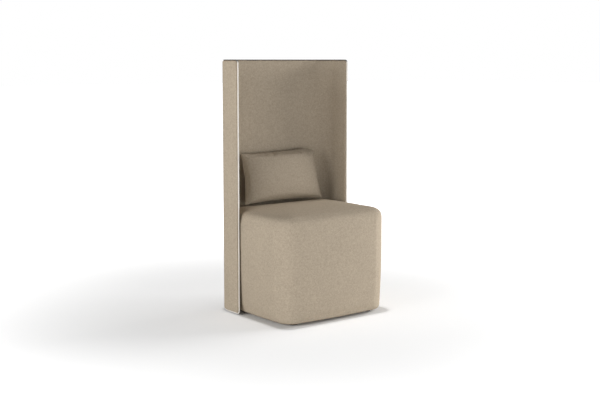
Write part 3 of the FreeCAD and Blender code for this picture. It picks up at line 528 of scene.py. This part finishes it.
def bottomCloth():
    low, high = (Vector(corner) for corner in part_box("bottom_cloth"))
    size = high - low
    bm = roundedSheet(size.x - 2 * dustCloth["inset"], size.y - 2 * dustCloth["inset"],
                      dustCloth["cornerRound"])
    cutAt(bm, spread(-size.x / 2, size.x / 2, dustCloth["step"])[1:-1], "x")
    cutAt(bm, spread(-size.y / 2, size.y / 2, dustCloth["step"])[1:-1], "y")
    middle = (low + high) / 2
    for vert in bm.verts:
        hang = math.cos(math.pi * vert.co.x / size.x) * math.cos(math.pi * vert.co.y / size.y)
        vert.co += Vector((middle.x, middle.y, low.z - 0.0002 - dustCloth["sag"] * hang))
    bmesh.ops.reverse_faces(bm, faces=bm.faces)
    piece = finishMesh(bm, "bottomCloth", blackCloth, "chair")
    wall = piece.modifiers.new("Thickness", "SOLIDIFY")
    wall.thickness = dustCloth["thickness"]
    wall.offset = -1
    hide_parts("bottom_cloth")


bottomCloth()
print("seat made")

# the loose pillow: two cut faces sewn at the edge and filled

pillow = {
    "width": 0.450, "height": 0.246, "thickness": 0.100, "across": 104, "up": 58, "leftDraw": 0.013,
    "rightDraw": 0.006, "footDraw": 0.007, "footForward": 0.012, "seamForward": 0.018,
    "seamDip": (0.004, 0.018), "backRise": 0.010, "pucker": 0.0030, "puckerRun": 0.013, "waver": 0.0016,
    "topLeft": 0.002, "topRight": 0.016, "lift": 0.0125, "lean": 10,
    "gatherPitch": 70, "waverPitch": 34, "panelFull": 0.22, "creaseAtSeam": 0.85,
    "pressure": 3, "frames": 12, "cap": 0.005, "seamRadius": 0.0010, "backGap": 0.0005,
}


def pillowBag():
    # both faces from one grid: full in the middle, thin at the corners, the top seam rolled forwards
    bm = bmesh.new()
    bmesh.ops.create_grid(bm, x_segments=pillow["across"], y_segments=pillow["up"], size=0.5,
                          calc_uvs=False)
    bmesh.ops.scale(bm, vec=(pillow["width"], pillow["height"], 1), verts=bm.verts)
    layFabric(bm)
    crease = bm.edges.layers.float.new("crease_edge")
    back = bmesh.ops.duplicate(bm, geom=bm.verts[:] + bm.edges[:] + bm.faces[:])["geom"]
    backVerts = {item for item in back if isinstance(item, bmesh.types.BMVert)}
    bmesh.ops.reverse_faces(bm, faces=[item for item in back if isinstance(item, bmesh.types.BMFace)])
    for vert in bm.verts:
        flat = vert.co.copy()
        u = min(abs(2 * flat.x / pillow["width"]) + 1e-6, 1)
        v = min(abs(2 * flat.y / pillow["height"]) + 1e-6, 1)
        behind = vert in backVerts
        full = (max(0, 1 - u ** 2.4) ** 0.62) * (max(0, 1 - v ** 2.6) ** 0.5)
        share = 0.5 + flat.x / pillow["width"]
        draw = pillow["leftDraw"] if flat.x < 0 else pillow["rightDraw"]
        x = flat.x - math.copysign(draw * u ** 3 * (1 - v * v), flat.x)
        y = flat.y
        z = pillow["thickness"] / 2 * full
        edge = min((1 - u) * pillow["width"], (1 - v) * pillow["height"]) / 2
        gather = noise.noise(Vector((flat.x, flat.y, 0.3 if behind else 0)) * pillow["gatherPitch"])
        z += pillow["pucker"] * gather * math.exp(-edge / pillow["puckerRun"]) * min(1, edge / 0.004)
        z *= -1 if behind else 1
        if flat.y > 0:
            dip = pillow["seamDip"][0] + (pillow["seamDip"][1] - pillow["seamDip"][0]) * share
            y -= dip * v ** 6
            z += pillow["seamForward"] * v ** 6
            if behind:
                y += (dip + pillow["backRise"] * (0.4 + share)) * min(1, full / pillow["panelFull"]) * v * v
                y += pillow["pucker"] * 1.5 * gather * math.exp(-edge / 0.03) * min(1, edge / 0.004)
        else:
            y += pillow["footDraw"] * v ** 3 * (1 - u * u)
            z += pillow["footForward"] * v ** 6 * (1.2 - 0.7 * share)
        taper = pillow["topLeft"] if flat.x < 0 else pillow["topRight"]
        x -= math.copysign(taper * u * (0.5 + flat.y / pillow["height"]), flat.x)
        waver = pillow["waver"] * noise.noise(Vector((flat.x, flat.y, 5)) * pillow["waverPitch"])
        vert.co = (x + waver * u ** 8, y + waver * v ** 8, z)
    seam = [vert for vert in bm.verts if vert.is_boundary]
    bmesh.ops.remove_doubles(bm, verts=seam, dist=1e-5)
    kept = {vert for vert in seam if vert.is_valid}
    rim = [edge for edge in bm.edges if edge.verts[0] in kept and edge.verts[1] in kept]
    for edge in rim:
        edge[crease] = pillow["creaseAtSeam"]
    return bm, rim


def fillPillow():
    bm, rim = pillowBag()
    bm.verts.index_update()
    ring = [vert.index for vert in walkRound(rim[0].verts[0], set(rim))]
    piece = finishMesh(bm, "pillowCase", pillowWool, "pillow")
    before = [vert.co.copy() for vert in piece.data.vertices]
    addCloth(piece, pillow["pressure"], pillow["frames"])
    bakeModifiers(piece)
    capMoves(piece, before, pillow["cap"])
    return piece, ring


def settlePillow(piece):
    # to its size, leaning back, resting on the seat and against the screen
    low, high = (Vector(corner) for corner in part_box("pillow_cover"))
    verts = piece.data.vertices
    size = [max(vert.co[axis] for vert in verts) - min(vert.co[axis] for vert in verts)
            for axis in range(3)]
    print("pillow before fitting", [round(span, 4) for span in size])
    fit = Vector((pillow["width"] / size[0], pillow["height"] / size[1], pillow["thickness"] / size[2]))
    lean = Euler((math.radians(90 - pillow["lean"]), 0, 0)).to_matrix()
    for vert in verts:
        vert.co = lean @ Vector((vert.co.x * fit.x, vert.co.y * fit.y, vert.co.z * fit.z))
    back = max(vert.co.y for vert in verts)
    foot = min(vert.co.z for vert in verts)
    move = Vector(((low.x + high.x) / 2, high.y - back - pillow["backGap"], low.z - foot + pillow["lift"]))
    for vert in verts:
        vert.co += move


pillowPiece, seamOrder = fillPillow()
settlePillow(pillowPiece)


def pillowSeam():
    line = [pillowPiece.data.vertices[index].co for index in seamOrder]
    piece = roundTube("pillowSeam", line, pillow["seamRadius"], 2, seatWool, "pillow")


pillowSeam()
fineCase = pillowPiece.modifiers.new("Fine", "SUBSURF")
fineCase.levels = fineCase.render_levels = 1
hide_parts("pillow_cover", "pillow_fill", "pillow_zip")
print("pillow made")

# floor, light and camera


def floorMaterial():
    # white floor that keeps its shadows; what the camera sees is lifted to white, except close round the
    # chair, where the lift is held back as a painted contact shadow
    n = Nodes("studioFloor")
    tree = n.tree
    where = n.add("ShaderNodeTexCoord").outputs["Object"]
    n.join(n.ramp(n.noise(where, 2), [(0.3, (0.80, 0.80, 0.80)), (0.7, (0.82, 0.82, 0.82))]),
           n.shader.inputs["Base Color"])
    n.shader.inputs["Roughness"].default_value = 0.9
    n.shader.inputs["Specular IOR Level"].default_value = 0.1
    glow = n.add("ShaderNodeEmission", Color=(1, 1, 1, 1))
    away = n.add("ShaderNodeVectorMath", operation="LENGTH")
    n.join(where, away.inputs[0])
    under = where  # distance to a rounded area below the chair, for the painted contact shadow
    for operation, vector in (("ABSOLUTE", None), ("SUBTRACT", studio["shadowPatch"]), ("MAXIMUM", (0, 0, 0)),
                              ("LENGTH", None)):
        step = n.add("ShaderNodeVectorMath", operation=operation)
        n.join(under, step.inputs[0])
        if vector:
            step.inputs[1].default_value = vector
        under = step.outputs["Value" if operation == "LENGTH" else "Vector"]
    lifts = []
    for value, span, most in ((under, studio["shadowPatchEdge"], studio["floorLift"]),
                              (away.outputs["Value"], studio["floorFade"], 1 - studio["floorLift"])):
        reach = n.add("ShaderNodeMapRange", interpolation_type="SMOOTHSTEP")
        reach.inputs["From Min"].default_value, reach.inputs["From Max"].default_value = span
        reach.inputs["To Max"].default_value = most
        n.join(value, reach.inputs["Value"])
        lifts.append(reach.outputs["Result"])
    rays = n.add("ShaderNodeLightPath")
    n.join(n.maths("MULTIPLY", rays.outputs["Is Camera Ray"], n.maths("ADD", *lifts)),
           glow.inputs["Strength"])
    both = n.add("ShaderNodeAddShader")
    n.join(n.shader.outputs[0], both.inputs[0])
    n.join(glow.outputs[0], both.inputs[1])
    n.join(both.outputs[0], tree.nodes["Material Output"].inputs["Surface"])
    return n.material


studio = {
    # the chair's rounded floor area and its soft edge give the painted contact shadow
    "floorLift": 0.34, "floorFade": (0.7, 2.6), "shadowPatch": (0.25, 0.20, 0),
    "shadowPatchEdge": (0.047, 0.080), "horizon": 0.83, "zenith": 0.07,
    "lamps": [
        ("rightKey", (4.4, -0.9, 1.6), (3.0, 2.0), 230),
        ("leftFill", (-4.4, -0.4, 1.4), (2.8, 2.0), 118),
        ("frontFill", (0.4, -3.2, 0.4), (2.4, 0.6), 28),
    ],
    "aim": (0, 0, 0.45),
    "camera": {"place": (-2.8712, -3.7442, 1.1492), "turn": 37.133, "dip": 5.87, "lens": 62.227,
               "shift": -0.055},
}

bm = bmesh.new()
bmesh.ops.create_grid(bm, x_segments=1, y_segments=1, size=40)
floorMesh = bpy.data.meshes.new("studioFloor")
bm.to_mesh(floorMesh)
bm.free()
floorPiece = bpy.data.objects.new("studioFloor", floorMesh)
floorMesh.materials.append(floorMaterial())
scene.collection.objects.link(floorPiece)

world = bpy.data.worlds.new("studioWorld")
world.use_nodes = True
scene.world = world
tree = world.node_tree
light = tree.nodes["Background"]
light.inputs["Color"].default_value = (1, 1, 1, 1)
heading = tree.nodes.new("ShaderNodeTexCoord")
rise = tree.nodes.new("ShaderNodeSeparateXYZ")
fall = tree.nodes.new("ShaderNodeMapRange")  # bright round the horizon, dim overhead
fall.interpolation_type = "SMOOTHSTEP"
for socket, number in (("From Min", 0.05), ("From Max", 0.7), ("To Min", studio["horizon"]),
                       ("To Max", studio["zenith"])):
    fall.inputs[socket].default_value = number
tree.links.new(heading.outputs["Generated"], rise.inputs[0])
tree.links.new(rise.outputs["Z"], fall.inputs["Value"])
tree.links.new(fall.outputs["Result"], light.inputs["Strength"])
seen = tree.nodes.new("ShaderNodeBackground")
seen.inputs["Color"].default_value = (1, 1, 1, 1)
rays = tree.nodes.new("ShaderNodeLightPath")
either = tree.nodes.new("ShaderNodeMath")
either.operation = "ADD"
either.use_clamp = True
also = tree.nodes.new("ShaderNodeMath")
also.operation = "ADD"
also.use_clamp = True
tree.links.new(rays.outputs["Is Camera Ray"], either.inputs[0])
tree.links.new(rays.outputs["Is Glossy Ray"], either.inputs[1])
tree.links.new(either.outputs[0], also.inputs[0])
tree.links.new(rays.outputs["Is Transmission Ray"], also.inputs[1])
blend = tree.nodes.new("ShaderNodeMixShader")
tree.links.new(also.outputs[0], blend.inputs["Fac"])
tree.links.new(light.outputs[0], blend.inputs[1])
tree.links.new(seen.outputs[0], blend.inputs[2])
tree.links.new(blend.outputs[0], tree.nodes["World Output"].inputs["Surface"])

for name, place, size, power in studio["lamps"]:
    lamp = bpy.data.lights.new(name, "AREA")
    lamp.shape = "RECTANGLE"
    lamp.size, lamp.size_y = size
    lamp.energy = power
    holder = bpy.data.objects.new(name, lamp)
    holder.location = place
    holder.rotation_euler = (Vector(studio["aim"]) - Vector(place)).to_track_quat("-Z", "Y").to_euler()
    scene.collection.objects.link(holder)

view = studio["camera"]
camera = bpy.data.objects.new("camera", bpy.data.cameras.new("camera"))
camera.data.lens = view["lens"]
camera.data.sensor_width = 36
camera.data.shift_y = view["shift"]
camera.location = view["place"]
camera.rotation_euler = (math.radians(90 - view["dip"]), 0, math.radians(-view["turn"]))
scene.collection.objects.link(camera)
scene.camera = camera
print("studio made")
